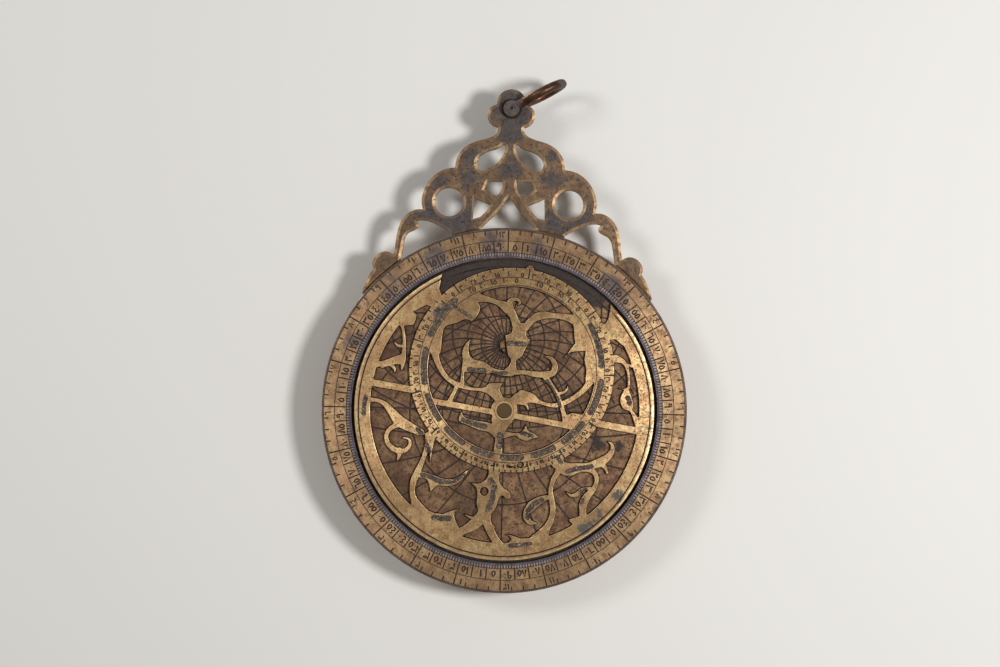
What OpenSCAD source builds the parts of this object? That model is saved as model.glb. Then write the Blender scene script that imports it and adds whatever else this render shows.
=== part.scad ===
// Planispheric astrolabe, hanging upright.
// X runs to the right of the face, +Z is up and the front of the face looks along -Y.
// The origin is the centre of the axis bore, on the rear face of the back plate.
// Every flat piece is drawn in a plane (x to the right, y up) and stood up by face_on(),
// where height above the plane becomes depth towards the viewer.

/* [Body] */
// Outer radius of the graduated limb
limb_r = 75; // [70:1:90]
// Radial width of the limb
limb_w = 12.2; // [11:0.1:14]
// Thickness of the back plate
back_t = 1.6; // [1.2:0.1:2.4]
// Depth of the limb face above the face of the rete
face_step = 0.5; // [0.45:0.05:1]
// Width of the ring grooves cut in the limb and the rete
groove_w = 0.3; // [0.2:0.05:0.5]
// Depth of the ring grooves
groove_t = 0.2; // [0.1:0.05:0.4]
// Inset of the groove that forms the bead at the edge of the limb
bead_inset = 0.9; // [0.6:0.1:1.5]
// Width of the finely divided band at the inside of the limb
fine_band_w = 2.1; // [1.6:0.1:2.6]
// Width of the lettered band outside the finely divided band
letter_band_w = 4.7; // [4:0.1:5.2]
// Number of rivets that hold the limb on the back plate
limb_rivets_n = 8; // [6:2:12]
// Radius of the limb rivets
limb_rivet_r = 1; // [0.7:0.1:1.4]
// Distance from the edge of the limb to the limb rivets
limb_rivet_inset = 6; // [5:0.1:7]

/* [Climate plates] */
// Thickness of one climate plate
plate_t = 0.8; // [0.6:0.1:1.2]
// Gap between a plate and the wall of the mater
plate_gap = 0.3; // [0.2:0.05:0.5]
// Radius of the stud that keeps the plates from turning
stud_r = 1.2; // [0.8:0.1:1.6]
// Distance from the wall of the mater to the stud
stud_inset = 4.3; // [3:0.1:5]

/* [Axis] */
// Radius of the bore through the hollow axis
axis_bore_r = 3.2; // [2.6:0.1:3.6]
// Wall of the hollow axis
axis_wall = 0.3; // [0.25:0.05:0.6]
// Width of the lip that holds the rete
lip_w = 0.35; // [0.3:0.05:0.8]
// Thickness of the lip
lip_t = 0.3; // [0.25:0.05:0.35]
// Width of the clinched flange behind the washer
clinch_w = 1.3; // [0.8:0.1:2]
// Thickness of the clinched flange
clinch_t = 0.6; // [0.4:0.1:1]
// Radius of the scalloped washer behind the alidade
washer_r = 7; // [6:0.1:8]
// Thickness of the scalloped washer
washer_t = 0.7; // [0.5:0.1:1.2]

/* [Rete] */
// Thickness of the rete
rete_t = 1.3; // [1:0.1:2]
// Gap between the rim of the rete and the wall of the mater
rete_gap = 0.9; // [0.5:0.1:1.2]
// Distance from the edge of the rete in to the tropic of Capricorn
tropic_inset = 2.7; // [2.5:0.1:3]
// Width of the rim
rim_w = 6.9; // [6:0.1:8]
// Width of the ecliptic ring
ecliptic_w = 8.2; // [7:0.1:9]
// Half the width of the gap in the rim above the ecliptic ring
rim_gap_half = 35; // [32:0.5:36]
// Width of the east-west bar outside the ecliptic ring
outer_bar_w = 3.2; // [2.5:0.1:4]
// Width of the east-west bar inside the ecliptic ring
inner_bar_w = 2.8; // [2:0.1:3.5]
// Radius of the hub
hub_r = 5.7; // [5:0.1:6.5]
// Radius of the larger empty rivet hole
knob_hole_r = 1.5; // [1:0.1:1.7]
// Radius of the smaller empty rivet hole
small_hole_r = 1.1; // [0.6:0.1:1.4]
// Turn of the rete at rest, clockwise from the top
rete_turn = 9; // [0:1:30]

/* [Throne] */
// Height of the hinge pin above the edge of the limb
throne_rise = 49; // [44:1:56]
// Thickness of the throne
throne_t = 3.4; // [2.6:0.1:4]
// Radius of the round opening in each lower lobe
lobe_hole_r = 5.9; // [5:0.1:6.5]
// Width of the tongue that is riveted under the limb
tongue_w = 6; // [5:0.1:7]
// Thickness of the tongue
tongue_t = 1.2; // [0.8:0.1:1.6]
// Radius of the throne rivets
throne_rivet_r = 1.1; // [0.8:0.1:1.5]

/* [Shackle] */
// Radius of the shackle's round bow, at the middle of the rod
bow_r = 9; // [8:0.1:11]
// Radius of the rod
rod_r = 1.85; // [1.5:0.05:2]
// Distance from the hinge pin to the centre of the bow
bow_reach = 14.4; // [13:0.1:17]
// Radius of the bend between bow and leg
leg_bend_r = 4; // [3:0.1:5]
// Radius of the flattened eye
eye_r = 3.3; // [2.8:0.1:4]
// Thickness of the flattened eye
eye_t = 2.2; // [1.8:0.1:2.6]
// Radius of the hinge pin
pin_r = 1.2; // [0.9:0.1:1.6]
// Radius of the centre mark in the end of the pin
pin_mark_r = 0.65; // [0.3:0.05:0.7]
// Radius of the washer between boss and eye
pin_washer_r = 4.1; // [3.4:0.1:4.6]
// Thickness of that washer
pin_washer_t = 0.4; // [0.3:0.1:0.8]
// Angle of the shackle at rest, up from the horizontal
shackle_rest = 28; // [0:1:90]

/* [Alidade] */
// Distance that the pointer stops short of the edge of the limb
alidade_inset = 3; // [1:0.5:8]
// Width of the rule
rule_w = 10; // [8:0.5:14]
// Thickness of the rule
rule_t = 1.8; // [1.4:0.1:2.6]
// Radius of the round centre of the rule
rule_hub_r = 10.5; // [9:0.5:13]
// Length of each pointed end
point_l = 11; // [8:0.5:16]
// Distance from the axis to each sighting vane
vane_reach = 46; // [35:1:52]
// Height of a vane above the rule
vane_h = 11; // [8:0.5:16]
// Thickness of a vane
vane_t = 1.4; // [1:0.1:2]
// Length of the foot of a vane
vane_foot_l = 5.4; // [4.5:0.1:7]
// Radius of the wide sighting hole
wide_sight_r = 0.9; // [0.5:0.1:1.2]
// Radius of the fine sighting hole
fine_sight_r = 0.45; // [0.3:0.05:0.7]
// Radius of the rivets in the foot of a vane
vane_rivet_r = 0.8; // [0.5:0.1:1]

/* [Fits] */
// Gap round the hollow axis in the pieces that turn on it
turn_fit = 0.05; // [0.03:0.01:0.1]
// Gap round rivets and studs
rivet_fit = 0.02; // [0.01:0.01:0.05]
// Gap between flat faces that turn past each other
slide_gap = 0.12; // [0.05:0.01:0.2]
// Gap round the tongue of the throne in its pocket
tongue_fit = 0.05; // [0.03:0.01:0.1]
// Gap between the edge of the limb and the throne
seat_fit = 0.02; // [0.01:0.01:0.05]

/* [Hidden] */
$fn = 96;
fine_fn = 240;
plates_n = 4;
// Reach of a cutter past a face, and of one strap into the ring it joins
cut_over = 1;

// Depths, from the rear face of the back plate towards the viewer
plates_top = back_t + plates_n * plate_t;
rete_back = plates_top + slide_gap;
rete_face = rete_back + rete_t;
limb_face = rete_face + face_step;
throne_back = back_t;
throne_mid = throne_back + throne_t / 2;
rule_front = -slide_gap;
rule_back = rule_front - rule_t;
washer_front = rule_back - slide_gap;
washer_back = washer_front - washer_t;
axis_back = washer_back - clinch_t;
axis_face = rete_face + slide_gap + lip_t;

// Radii
bowl_r = limb_r - limb_w;
plate_r = bowl_r - plate_gap;
rete_r = bowl_r - rete_gap;
axis_r = axis_bore_r + axis_wall;
turn_bore_r = axis_r + turn_fit;
fixed_bore_r = axis_r + rivet_fit;
fine_ring_r = bowl_r + fine_band_w;
letter_ring_r = fine_ring_r + letter_band_w;
bead_ring_r = limb_r - bead_inset;
stud_at = bowl_r - stud_inset;

// Rivets stop in blind holes under the face of the limb
blind_bottom = 1.2;
rivet_top = limb_face - blind_bottom;
rivet_head_r = 1.7;
rivet_head_t = 0.7;
throne_rivet_angles = [-44, -13.6, 13.6, 44];
throne_rivet_at = limb_r - tongue_w / 2;

// The limb rivets share the arc on each side that the throne leaves free
limb_rivet_first = 70;
limb_rivet_arc = 100;
limb_rivet_at = limb_r - limb_rivet_inset;
limb_rivet_angles = [for (i = [0 : limb_rivets_n - 1])
    let (half = limb_rivets_n / 2, side = i < half ? 1 : -1, j = i % half)
    side * (limb_rivet_first + j * limb_rivet_arc / (half - 0.5))];

// Scallops round the edge of the washer behind the alidade
scallops_n = 8;
scallop_r = 1.7;
scallop_at = washer_r + 0.9;

// Half the distance between the two sighting holes of a vane
sight_half = 2.2;
// Inner face of a vane, and the middle of its foot
vane_in = vane_reach - vane_t / 2;
vane_rivet_at = vane_in - vane_foot_l / 2;

// Circles of the stereographic projection, from the obliquity of the ecliptic
obliquity = 23.5;
capricorn_r = rete_r - tropic_inset;
equator_r = capricorn_r * tan((90 - obliquity) / 2);
cancer_r = equator_r * tan((90 - obliquity) / 2);
ecliptic_r = (capricorn_r + cancer_r) / 2;
ecliptic_up = (capricorn_r - cancer_r) / 2;
ecliptic_in_r = ecliptic_r - ecliptic_w;
// The inside of the rim lies a little above the centre, so the foot is widest
rim_in_r = rete_r - rim_w;
rim_in_up = 0.8;
rim_line_r = rete_r - 2;
// Round point at the top of the ecliptic ring that reads the limb
index_r = 1.7;

// Ornament is drawn for a rete of this radius and grows with the rete
rete_draft_r = 61.9;
rete_draft = rete_r / rete_draft_r;
knob_hole_at = [-2.1, -34.1];
small_hole_at = [10.6, -20.7];

// The throne is drawn for a limb of this radius with the pin this far above it
throne_draft_r = 75;
throne_draft_rise = 49;
throne_draft = limb_r / throne_draft_r;
pin_up = limb_r + throne_rise;

// Shackle, in its own plane: u runs out from the pin and v across the boss
eye_gap = throne_t / 2 + pin_washer_t + 2 * turn_fit;
leg_v = eye_gap + rod_r + turn_fit;
bend_v = leg_v + leg_bend_r;
bend_u = bow_reach - sqrt(pow(bow_r + leg_bend_r, 2) - pow(bend_v, 2));
bow_open = atan2(bend_v, bow_reach - bend_u);

// A point on a smooth curve through p1 and p2; a third number in a point is a width
function between(p0, p1, p2, p3, t) =
    0.5 * (2 * p1 + (p2 - p0) * t + (2 * p0 - 5 * p1 + 4 * p2 - p3) * t * t
    + (3 * p1 - p0 - 3 * p2 + p3) * t * t * t);
function smooth(p, n = 3) = [
    for (i = [0 : len(p) - 2], k = [0 : n - 1])
        between(p[max(i - 1, 0)], p[i], p[i + 1], p[min(i + 2, len(p) - 1)], k / n),
    p[len(p) - 1]];
function smooth_loop(p, n = 3) = [
    for (i = [0 : len(p) - 1], k = [0 : n - 1])
        between(p[(i + len(p) - 1) % len(p)], p[i], p[(i + 1) % len(p)],
                p[(i + 2) % len(p)], k / n)];
function along(line, i) =
    let (a = line[max(i - 1, 0)], b = line[min(i + 1, len(line) - 1)],
         d = [b[0] - a[0], b[1] - a[1]])
    d / norm(d);
function beside(line, i, side) =
    let (d = along(line, i), w = line[i][2] * side / 2)
    [line[i][0] - d[1] * w, line[i][1] + d[0] * w];

// Stands a flat piece up with its drawing side towards the viewer
module face_on() {
    rotate([90, 0, 0]) children();
}

// Strap of changing width along a smooth line of [x, y, width]
module strap(points) {
    line = smooth(points);
    for (i = [0 : len(line) - 2])
        polygon([beside(line, i, 1), beside(line, i, -1),
                 beside(line, i + 1, -1), beside(line, i + 1, 1)]);
    for (end = [points[0], points[len(points) - 1]])
        translate([end[0], end[1]]) circle(d = end[2], $fn = 16);
}

module leaf(points) {
    polygon(smooth_loop(points));
}

module ring_groove(r, face) {
    translate([0, 0, face - groove_t])
        difference() {
            cylinder(r = r + groove_w / 2, h = groove_t + cut_over, $fn = fine_fn);
            translate([0, 0, -cut_over])
                cylinder(r = r - groove_w / 2, h = groove_t + 3 * cut_over, $fn = fine_fn);
        }
}

module at_polar(angles, r) {
    for (a = angles) rotate([0, 0, -a]) translate([0, r, 0]) children();
}

// Rivet from the rear face up into a blind hole, with a head sunk flush
module rivet(r, grow = 0) {
    translate([0, 0, -grow]) cylinder(r = r + grow, h = rivet_top + 2 * grow);
    translate([0, 0, -grow])
        cylinder(r1 = rivet_head_r + grow, r2 = r + grow, h = rivet_head_t);
}

module back_plate() {
    color("#8a6f45") face_on() difference() {
        cylinder(r = limb_r, h = back_t, $fn = fine_fn);
        translate([0, 0, -cut_over]) cylinder(r = fixed_bore_r, h = back_t + 2 * cut_over);
        translate([0, -stud_at, -cut_over])
            cylinder(r = stud_r + rivet_fit, h = back_t + 2 * cut_over);
        at_polar(limb_rivet_angles, limb_rivet_at) rivet(limb_rivet_r, rivet_fit);
        at_polar(throne_rivet_angles, throne_rivet_at) rivet(throne_rivet_r, rivet_fit);
    }
}

module limb_ring() {
    color("#b08d57") face_on() difference() {
        translate([0, 0, back_t]) cylinder(r = limb_r, h = limb_face - back_t, $fn = fine_fn);
        cylinder(r = bowl_r, h = limb_face + cut_over, $fn = fine_fn);
        ring_groove(fine_ring_r, limb_face);
        ring_groove(letter_ring_r, limb_face);
        ring_groove(bead_ring_r, limb_face);
        translate([0, 0, back_t - cut_over])
            linear_extrude(tongue_t + tongue_fit + cut_over)
                tongue_pocket_outline();
        at_polar(limb_rivet_angles, limb_rivet_at) rivet(limb_rivet_r, rivet_fit);
        at_polar(throne_rivet_angles, throne_rivet_at) rivet(throne_rivet_r, rivet_fit);
    }
}

module limb_rivets() {
    color("#c2a063") face_on() at_polar(limb_rivet_angles, limb_rivet_at) rivet(limb_rivet_r);
}

module throne_rivets() {
    color("#c2a063") face_on()
        at_polar(throne_rivet_angles, throne_rivet_at) rivet(throne_rivet_r);
}

// Throne drawing: below the top of the limb it grows with the limb,
// above it the height follows the rise of the pin
function on_throne(p) = [
    p[0] * throne_draft,
    p[1] < throne_draft_r ? p[1] * throne_draft
        : limb_r + (p[1] - throne_draft_r) * throne_rise / throne_draft_rise];
function placed(points) = [for (p = points) on_throne(p)];

// Runs of the outline from the top of the boss down the right side, one per lobe
boss_top = [[0, 132.2], [2.6, 131.6], [4.7, 130], [5.8, 127.8], [6.1, 125.8]];
boss_side = [[6.2, 125.7], [8.1, 124.9], [9.4, 123.2], [9.8, 121.3], [9.2, 119.1],
             [7.6, 117.3], [5.5, 116.4]];
shoulder = [[5.3, 115.9], [5.6, 114.4], [7.2, 112.7], [10.2, 111.5], [15, 110.1],
            [18.8, 107.9], [21.3, 104.8], [22.3, 102], [22.6, 99.8]];
upper_lobe = [[22.7, 99.4], [25.8, 98.9], [29.4, 97.3], [32.6, 94.4], [34.9, 90.6],
              [36, 86.4], [35.9, 83.8], [35.4, 82]];
lower_lobe = [[35.8, 81.9], [38.6, 81.7], [41.6, 80.1], [44, 77.4], [45.4, 73.8],
              [46.2, 69.4], [46.6, 65.4], [47, 63.2]];
foot = [[47.2, 63.1], [49, 64.1], [51.4, 64.1], [53.8, 62.8], [55.4, 60.5],
        [55.6, 58.6], [55.1, 57]];
tail = [[55.2, 56.9], [56.9, 54.4], [58.3, 51.2], [59.6, 47.2]];
under_limb = [[57, 43], [0, 58]];

// Openings of the right half
upper_eye = [[2.6, 109.4], [5.2, 107.7], [9.5, 106.3], [12.6, 104.2], [13.8, 101.6],
             [13, 99.2], [11.2, 98.2], [8.8, 99.3], [6, 101.1], [4.4, 102.8],
             [3.1, 105], [2.3, 107.2]];
middle_eye = [[3, 94.2], [9, 94.2], [9.6, 92.4], [10.4, 90.8], [8.6, 89.5],
              [6.3, 88.4], [5, 88.2], [3.7, 89.9], [2.8, 92.2]];
lower_eye = [[14.5, 87.4], [12.4, 86.2], [10, 85.2], [7.4, 84.3], [9.4, 81.7],
             [11.8, 79.3], [14.8, 78.4]];
lobe_hole_at = [24.7, 85.2];
arch_under = [[11.6, 60], [0, 60]];
arch_side = [[0, 88.3], [1.6, 86], [3.3, 83.2], [6.4, 79.6], [9.2, 76.8], [11.6, 74.4]];
leg_gap_out = [[44.1, 61], [43.2, 66.6], [42.4, 70.3], [41, 72.2], [38.8, 73.3],
               [37.2, 74.5], [37.1, 75.9], [38, 77]];
leg_gap_in = [[36.2, 77.5], [33.3, 77.2], [30, 76], [26.6, 74.3], [23.2, 72.3]];
leg_gap_under = [[21, 64], [42, 56]];

module throne_half() {
    difference() {
        polygon(concat(smooth(placed(boss_top)), smooth(placed(boss_side)),
                       smooth(placed(shoulder)), smooth(placed(upper_lobe)),
                       smooth(placed(lower_lobe)), smooth(placed(foot)),
                       smooth(placed(tail)), placed(under_limb)));
        polygon(smooth_loop(placed(upper_eye)));
        polygon(placed(middle_eye));
        polygon(placed(lower_eye));
        translate(on_throne(lobe_hole_at)) circle(r = lobe_hole_r);
        polygon(concat(smooth(placed(arch_side)), placed(arch_under)));
        polygon(concat(smooth(placed(leg_gap_out)), smooth(placed(leg_gap_in)),
                       placed(leg_gap_under)));
    }
}

// Whole outline, down to the end of the tongue under the limb
module throne_outline() {
    offset(delta = 0.05) offset(delta = -0.05) difference() {
        union() {
            throne_half();
            mirror([1, 0]) throne_half();
        }
        circle(r = limb_r - tongue_w, $fn = fine_fn);
    }
}

module tongue_pocket_outline() {
    offset(delta = tongue_fit) intersection() {
        throne_outline();
        circle(r = limb_r + 2 * cut_over, $fn = fine_fn);
    }
}

module throne() {
    color("#a08a70") face_on() difference() {
        translate([0, 0, throne_back]) linear_extrude(throne_t) throne_outline();
        translate([0, 0, throne_back + tongue_t])
            cylinder(r = limb_r + seat_fit, h = throne_t, $fn = fine_fn);
        translate([0, pin_up, 0]) cylinder(r = pin_r + rivet_fit, h = limb_face);
        at_polar(throne_rivet_angles, throne_rivet_at) rivet(throne_rivet_r, rivet_fit);
    }
}

module climate_plate(i) {
    color("#9a7a55") face_on() translate([0, 0, back_t + i * plate_t]) difference() {
        cylinder(r = plate_r, h = plate_t, $fn = fine_fn);
        translate([0, 0, -cut_over]) cylinder(r = fixed_bore_r, h = plate_t + 2 * cut_over);
        translate([0, -stud_at, -cut_over])
            cylinder(r = stud_r + rivet_fit, h = plate_t + 2 * cut_over);
    }
}

module plate_stud() {
    color("#c2a063") face_on() translate([0, -stud_at, 0])
        cylinder(r = stud_r, h = plates_top);
}

module hollow_axis() {
    color("#cbbf9f") face_on() difference() {
        union() {
            translate([0, 0, axis_back]) cylinder(r = axis_r, h = axis_face - axis_back);
            translate([0, 0, axis_face - lip_t]) cylinder(r = axis_r + lip_w, h = lip_t);
            translate([0, 0, axis_back]) cylinder(r = axis_r + clinch_w, h = clinch_t);
        }
        translate([0, 0, axis_back - cut_over])
            cylinder(r = axis_bore_r, h = axis_face - axis_back + 2 * cut_over);
    }
}

module scalloped_washer() {
    color("#b89458") face_on() translate([0, 0, washer_back]) difference() {
        cylinder(r = washer_r, h = washer_t);
        translate([0, 0, -cut_over]) cylinder(r = fixed_bore_r, h = washer_t + 2 * cut_over);
        for (i = [0 : scallops_n - 1])
            rotate([0, 0, (i + 0.5) * 360 / scallops_n])
                translate([scallop_at, 0, -cut_over])
                    cylinder(r = scallop_r, h = washer_t + 2 * cut_over);
    }
}

// Upright rim, ecliptic ring and the east-west bar that changes side at the ring
module rete_rings() {
    difference() {
        circle(r = rete_r + cut_over, $fn = fine_fn);
        translate([0, rim_in_up]) circle(r = rim_in_r, $fn = fine_fn);
        difference() {
            translate([-rim_gap_half, equator_r / 2]) square([2 * rim_gap_half, rete_r]);
            translate([0, ecliptic_up]) circle(r = ecliptic_r, $fn = fine_fn);
        }
    }
    difference() {
        union() {
            translate([0, ecliptic_up]) circle(r = ecliptic_r, $fn = fine_fn);
            translate([0, ecliptic_r + ecliptic_up]) circle(r = index_r, $fn = 32);
        }
        translate([0, ecliptic_up]) circle(r = ecliptic_in_r, $fn = fine_fn);
    }
    difference() {
        translate([-rete_r, 0]) square([2 * rete_r, outer_bar_w]);
        translate([0, ecliptic_up]) circle(r = ecliptic_r - cut_over, $fn = fine_fn);
    }
    intersection() {
        translate([-rete_r, -inner_bar_w]) square([2 * rete_r, inner_bar_w]);
        translate([0, ecliptic_up]) circle(r = ecliptic_in_r + cut_over, $fn = fine_fn);
    }
    circle(r = hub_r);
}

// Straps and pointers between the rim and the ecliptic ring
module outer_strapwork() {
    // Webs that join the ecliptic ring to the ends of the rim
    polygon([[-35, 53], [-35, 44.6], [-33.8, 42], [-30, 41], [-33, 36], [-39.3, 36.6],
             [-43.9, 33.2], [-42.2, 32.4], [-42.2, 29.8], [-42.9, 27.7], [-46.4, 26.8],
             [-50, 30], [-50, 40]]);
    polygon([[35, 53], [35, 44.6], [34.3, 43], [30, 41], [33, 35], [39.6, 36.7],
             [42.4, 35], [47, 33], [48, 42]]);
    // Upper left pointer hanging from the rim
    strap([[-50, 30, 5], [-47.4, 26.6, 2], [-45.8, 22, 1.7], [-45, 17, 2], [-44.6, 13, 2.6],
           [-44.4, 9, 1.1]]);
    strap([[-56, 8.6, 3], [-52.6, 10.2, 2.4], [-49, 11.8, 3.4], [-46, 13, 4.6], [-44.9, 15, 2.4]]);
    strap([[-45.4, 18.6, 1.4], [-47.6, 18.4, 1.9], [-49.2, 19.4, 1.1]]);
    strap([[-52.6, 9, 2.2], [-49.6, 10.2, 2], [-47.4, 8.8, 1.6], [-47.2, 7.4, 0.9]]);
    // Upper right pointer, tied to ring and rim, with its label leaf
    strap([[41, 29.2, 4], [44.6, 28.4, 2.4], [46.9, 25.4, 1.8], [48.2, 21, 1.5], [48.5, 18.4, 1.6]]);
    strap([[45.4, 27.7, 1.8], [48.6, 27.4, 1.6], [52.6, 27.6, 3]]);
    strap([[44.7, 17.4, 0.8], [46.6, 17.5, 1], [48.6, 18.2, 1.4]]);
    leaf([[48.2, 17.6], [50, 14.4], [51.2, 11.8], [50.6, 9.6], [48.4, 9.9], [46.8, 12.4],
          [47, 15.4]]);
    strap([[48.4, 18.4, 1.6], [46.8, 15.6, 1.4], [46.6, 12.4, 1.5], [48.4, 9.9, 1.6],
           [51, 9.4, 1.6], [53.2, 7, 2.4], [56, 3.4, 4]]);
    strap([[48.4, 17.6, 1.4], [50, 14.6, 1.4], [51.4, 11.6, 1.4], [51, 9.4, 1.6]]);
    // Lower left tendril and curl
    strap([[-57.5, -6.4, 3], [-53, -5.2, 2.2], [-49, -6, 2.6], [-45.6, -8.6, 3.6],
           [-41.8, -11.8, 5], [-37.6, -13.4, 4.6], [-32, -15, 3.4]]);
    strap([[-41.4, -13.2, 3], [-44.6, -15.6, 2.4], [-45.8, -18.8, 2.2], [-44.4, -22, 2.5],
           [-41, -23.9, 2.9], [-37.4, -23.6, 2.5], [-35.6, -21, 1.9], [-36.4, -18.6, 1.6],
           [-38.6, -18.4, 1.3]]);
    strap([[-39.4, -23.6, 2.8], [-39.1, -26, 2.2], [-39.5, -28, 1]]);
    // Lower left strap with its label pointer
    strap([[-28.4, -15.6, 4], [-28.4, -20, 2.8], [-29.1, -25, 2.3], [-30.2, -30, 2.9],
           [-31.3, -34.4, 3.2], [-31.4, -38, 2.8], [-30.4, -41.6, 3], [-28, -45.2, 5],
           [-24.6, -49.4, 8]]);
    strap([[-27.2, -17, 3], [-27, -21, 2.2], [-26.4, -23.4, 1.2], [-26.1, -26, 0.8]]);
    leaf([[-29.6, -30.6], [-24, -30.9], [-19.8, -31.7], [-16, -31.2], [-13, -29],
          [-9.7, -25.9], [-11.4, -30.4], [-14.4, -33.8], [-18, -35.1], [-21.6, -35.6],
          [-23.7, -38.5], [-25, -35.8], [-26.6, -33.6], [-30, -33.4]]);
    // Thick foot of the rim with its leaf
    polygon([[-27, -44.2], [-24.6, -45.4], [-20.6, -46.2], [-17, -46], [-15, -44.6],
             [-12.8, -43.3], [-10.8, -43.3], [-12.2, -44.6], [-12.2, -46.2], [-11, -48.4],
             [-9.2, -51], [-9.4, -55.4], [-20, -55], [-32, -46]]);
    // Central foot with two legs
    leaf([[-2, -22], [2.8, -22], [3.2, -28.4], [5.6, -31], [8.4, -32.4], [9.2, -35],
          [7, -35.8], [5.6, -34.6], [4.4, -36.2], [4.2, -39], [2.4, -43], [-2.4, -44.4],
          [-3.6, -41.8], [-4.6, -39.4], [-4.8, -36.4], [-5.6, -33.8], [-7, -32.5],
          [-8.8, -31.5], [-5.4, -31.2], [-3.2, -29.8], [-1.9, -27.4]]);
    strap([[-0.6, -41, 4.4], [-1.7, -45, 5.2], [-3.7, -48.2, 5], [-7.3, -51.2, 3.9],
           [-12.1, -54.3, 3.4]]);
    strap([[-3, -45.6, 2], [-6, -45.6, 1.5], [-8.2, -44.8, 0.8]]);
    strap([[0.4, -41, 4], [1, -45.6, 3.8], [3.1, -49.2, 3.9], [5.7, -52.6, 3.7], [8.6, -55.4, 4.4]]);
    polygon([[2.6, -46], [5.1, -47.3], [5, -48.2], [3.4, -49.6]]);
    // Lower right strap with its curled pointer
    strap([[25.4, -14.6, 5], [26.2, -20, 3], [24.9, -24.6, 2.5], [24.6, -28.8, 2.3],
           [25.8, -32.6, 2.8], [27.1, -37, 2.8], [26.8, -41.4, 3], [25.5, -45, 4],
           [23.6, -50, 7.4]]);
    strap([[24.6, -31.6, 2.2], [22.6, -32.4, 2.8], [20.4, -34, 3.8], [18, -36.6, 4.2],
           [16.5, -39.6, 3], [16.9, -41.9, 2.8], [19, -43.3, 2.6], [21.3, -43.1, 1]]);
    polygon([[9, -53.6], [11.4, -52.8], [12.2, -51.4], [11, -50.3], [9.6, -49.9], [12, -49.4],
             [16, -50.2], [19.6, -49.3], [22.6, -46.8], [26, -48], [24, -55], [9, -57]]);
    // Right pointers outside the ring
    strap([[25, -17.6, 4.6], [29.6, -18, 3.8], [33.6, -16.9, 2.8], [38, -16, 3],
           [42, -14.2, 4.4], [45.2, -11.2, 3.4], [46.6, -8, 2.4], [45.8, -5.6, 1.8],
           [44.2, -4.9, 0.9]]);
    strap([[43.6, -14.4, 3], [45.4, -16.2, 1.8], [46.2, -17.6, 1.4]]);
    strap([[28.6, -20.4, 3.2], [31.4, -20.4, 2.8], [34, -18.8, 2.6], [37.6, -17.6, 2.6],
           [41, -18.4, 2.6], [42.5, -21.6, 2.2], [41.8, -25.2, 2.6], [39.8, -28.6, 3.6],
           [38.8, -32, 3.8], [39.4, -36, 3.4], [40.6, -40.6, 5]]);
    strap([[40.6, -25, 1.6], [37.4, -26, 1.8], [35.4, -28.6, 2.4], [33, -29.3, 1.6],
           [31.2, -28.3, 0.8]]);
    polygon([[27.4, -47], [31, -45], [36.6, -41.3], [34.6, -40.3], [34, -39], [38, -37],
             [42, -36], [44, -38], [34, -49]]);
}

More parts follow.
